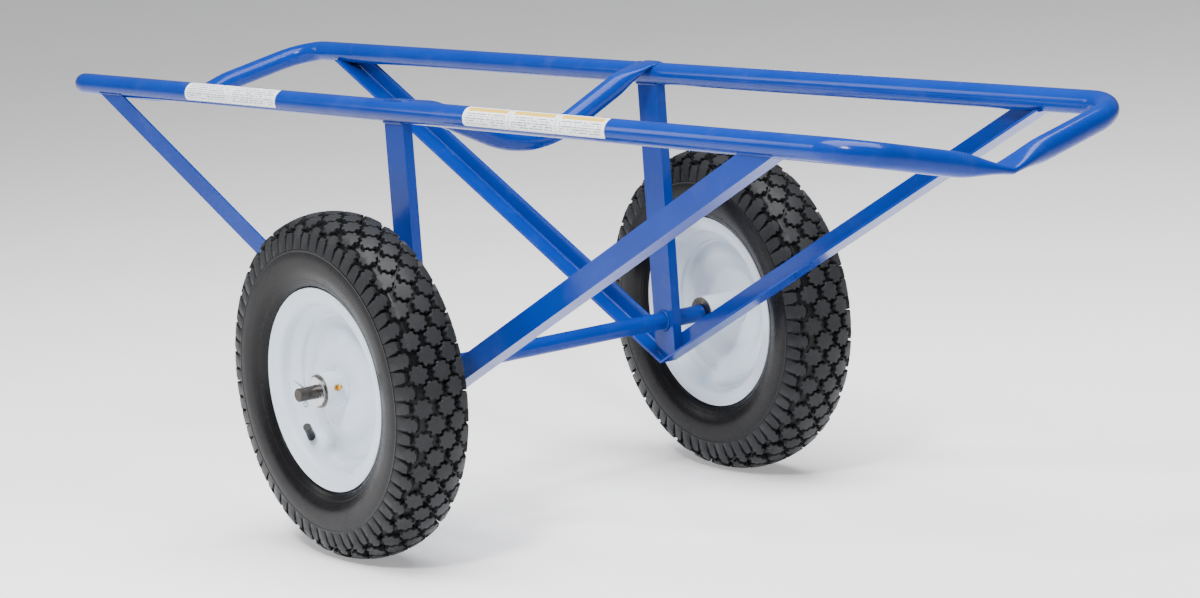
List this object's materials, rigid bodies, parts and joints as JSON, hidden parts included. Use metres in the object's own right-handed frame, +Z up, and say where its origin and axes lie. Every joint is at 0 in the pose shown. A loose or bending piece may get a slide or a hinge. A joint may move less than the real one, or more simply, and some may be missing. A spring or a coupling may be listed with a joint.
{
  "type": "platform trolley",
  "caption": "Long-load trolley: open tube ring with dipped ends and a saddle, V frames of angle iron, and pneumatic wheels on a fixed axle.",
  "frame": {"origin": "on the ground under the middle of the axle; the ring's middle lies 11 mm in front of it", "axes": "+X along the rails to the front end, +Y along the axle to the left wheel, +Z up"},
  "size_m": [1.6442, 0.7126, 0.5253],
  "materials": {
    "frame_enamel": "glossy royal blue enamel over steel tube and angle iron",
    "rim_enamel": "glossy white baked enamel on pressed steel",
    "tyre_rubber": "black tyre rubber, slightly shiny, with worn grey patches",
    "tube_rubber": "smooth black butyl rubber",
    "black_plastic": "moulded black plastic",
    "axle_steel": "bare dark steel bar with a dull oiled surface",
    "zinc": "bright zinc plating",
    "bearing_steel": "dark pressed bearing steel",
    "brass": "bright turned brass",
    "label": "white vinyl film with neutral grey lines and a yellow band, no lettering"
  },
  "bodies": {
    "frame": {"side_rail_right": "frame_enamel", "side_rail_left": "frame_enamel", "corner_front_right": "frame_enamel", "corner_front_left": "frame_enamel", "corner_rear_right": "frame_enamel", "corner_rear_left": "frame_enamel", "end_cradle_front": "frame_enamel", "end_cradle_rear": "frame_enamel", "centre_saddle": "frame_enamel", "arm_front_right": "frame_enamel", "arm_front_left": "frame_enamel", "arm_rear_right": "frame_enamel", "arm_rear_left": "frame_enamel", "post_right": "frame_enamel", "post_left": "frame_enamel", "axle_tube": "frame_enamel", "axle_rod": "axle_steel", "washer_right": "zinc", "washer_left": "zinc", "split_pin_right": "zinc", "split_pin_left": "zinc", "inner_races_right": "bearing_steel", "inner_races_left": "bearing_steel", "label_long_right": "label", "label_short_right": "label", "label_long_left": "label"},
    "wheel_right": {"tyre_right": "tyre_rubber", "inner_tube_right": "tube_rubber", "rim_outer_right": "rim_enamel", "rim_inner_right": "rim_enamel", "hub_right": "rim_enamel", "outer_races_right": "bearing_steel", "ball_cages_right": "bearing_steel", "valve_stem_right": "tube_rubber", "valve_cap_right": "black_plastic", "grease_nipple_right": "brass"},
    "wheel_left": {"tyre_left": "tyre_rubber", "inner_tube_left": "tube_rubber", "rim_outer_left": "rim_enamel", "rim_inner_left": "rim_enamel", "hub_left": "rim_enamel", "outer_races_left": "bearing_steel", "ball_cages_left": "bearing_steel", "valve_stem_left": "tube_rubber", "valve_cap_left": "black_plastic", "grease_nipple_left": "brass"}
  },
  "joints": [
    {"name": "wheel_right_spin", "type": "hinge", "parent": "frame", "child": "wheel_right", "pos_m": [0, -0.2838, 0.2032], "axis": [0, 1, 0], "continuous": true},
    {"name": "wheel_left_spin", "type": "hinge", "parent": "frame", "child": "wheel_left", "pos_m": [0, 0.2838, 0.2032], "axis": [0, 1, 0], "continuous": true}
  ]
}
